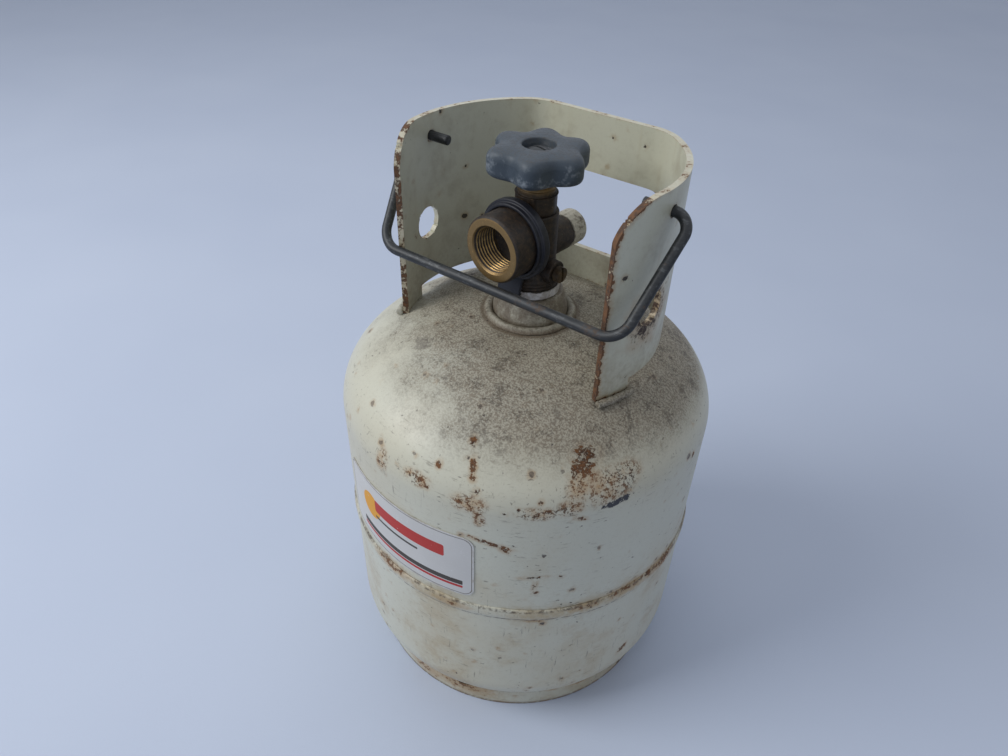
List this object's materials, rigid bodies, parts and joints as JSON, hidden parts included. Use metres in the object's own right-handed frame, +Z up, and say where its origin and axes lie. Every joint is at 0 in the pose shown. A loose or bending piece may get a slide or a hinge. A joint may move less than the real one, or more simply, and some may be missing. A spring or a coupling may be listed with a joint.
{
  "type": "gas cylinder",
  "caption": "Small upright welded steel gas cylinder with a foot ring, a guard collar with a wire bail handle, and a brass valve with a handwheel; weathered cream paint, rusting.",
  "frame": {"origin": "middle of the foot ring's underside, on the floor", "axes": "+Z up along the cylinder's axis, -Y towards the open front of the collar and the valve's outlet, +X to the right seen from the front"},
  "size_m": [0.2056, 0.2056, 0.3199],
  "materials": {
    "cream_paint": "semi-gloss cream paint, dirty, chipped and rusting",
    "rod_steel": "dull plated steel",
    "brass": "forged brass, darkened by grime",
    "rubber": "black seal rubber",
    "wheel_paint": "cast handwheel, blue-grey paint worn on its edges",
    "cap_plastic": "pale dirty plastic",
    "strap_plastic": "blue-black soft plastic",
    "white_tape": "white thread tape, dusty",
    "label_film": "printed film sticker with plain colour fields"
  },
  "bodies": {
    "cylinder": {"upper_head": "cream_paint", "lower_head": "cream_paint", "girth_weld": "cream_paint", "foot_ring": "cream_paint", "foot_ring_weld_1": "cream_paint", "foot_ring_weld_2": "cream_paint", "foot_ring_weld_3": "cream_paint", "valve_boss": "cream_paint", "boss_weld": "cream_paint", "collar": "cream_paint", "collar_weld_front_left": "cream_paint", "collar_weld_front_right": "cream_paint", "collar_weld_back": "cream_paint", "valve_body": "brass", "thread_tape": "white_tape", "bonnet": "brass", "relief_spring": "rod_steel", "relief_retainer": "brass", "dip_tube": "brass", "plug_strap": "strap_plastic", "label": "label_film"},
    "bail": {"bail_handle": "rod_steel"},
    "handwheel": {"handwheel": "wheel_paint", "handwheel_screw": "rod_steel", "valve_stem": "brass", "stem_seal": "rubber"},
    "spindle": {"lower_spindle": "brass", "seat_disc": "rubber"},
    "relief_poppet": {"relief_poppet": "brass", "relief_seal": "rubber"},
    "relief_cap": {"relief_cap": "cap_plastic"},
    "bleeder": {"bleeder_screw": "brass"}
  },
  "joints": [
    {"name": "bail_swing", "type": "hinge", "parent": "cylinder", "child": "bail", "pos_m": [0, 0.001, 0.30742], "axis": [-1, 0, 0], "range_deg": [0, 218]},
    {"name": "handwheel_turn", "type": "hinge", "parent": "cylinder", "child": "handwheel", "pos_m": [0, 0, 0.31], "axis": [0, 0, 1], "range_deg": [0, 900]},
    {"name": "spindle_lift", "type": "slide", "parent": "handwheel", "child": "spindle", "axis": [0, 0, 1], "range_m": [0, 0.004]},
    {"name": "relief_poppet_slide", "type": "slide", "parent": "cylinder", "child": "relief_poppet", "axis": [0.0976, 0.9952, 0], "range_m": [0, 0.002], "stiffness_N_per_m": 1500, "springref_m": -0.004, "deforming": ["relief_spring"]},
    {"name": "relief_cap_pull", "type": "slide", "parent": "cylinder", "child": "relief_cap", "axis": [0.0976, 0.9952, 0], "range_m": [0, 0.014]},
    {"name": "bleeder_turn", "type": "hinge", "parent": "cylinder", "child": "bleeder", "pos_m": [0.0156, -0.00153, 0.25892], "axis": [0.9952, -0.0976, 0], "range_deg": [0, 360]}
  ],
  "couplings": [
    {"joint": "spindle_lift", "follows": "handwheel_turn", "m_per_rad": 0.0002546}
  ]
}
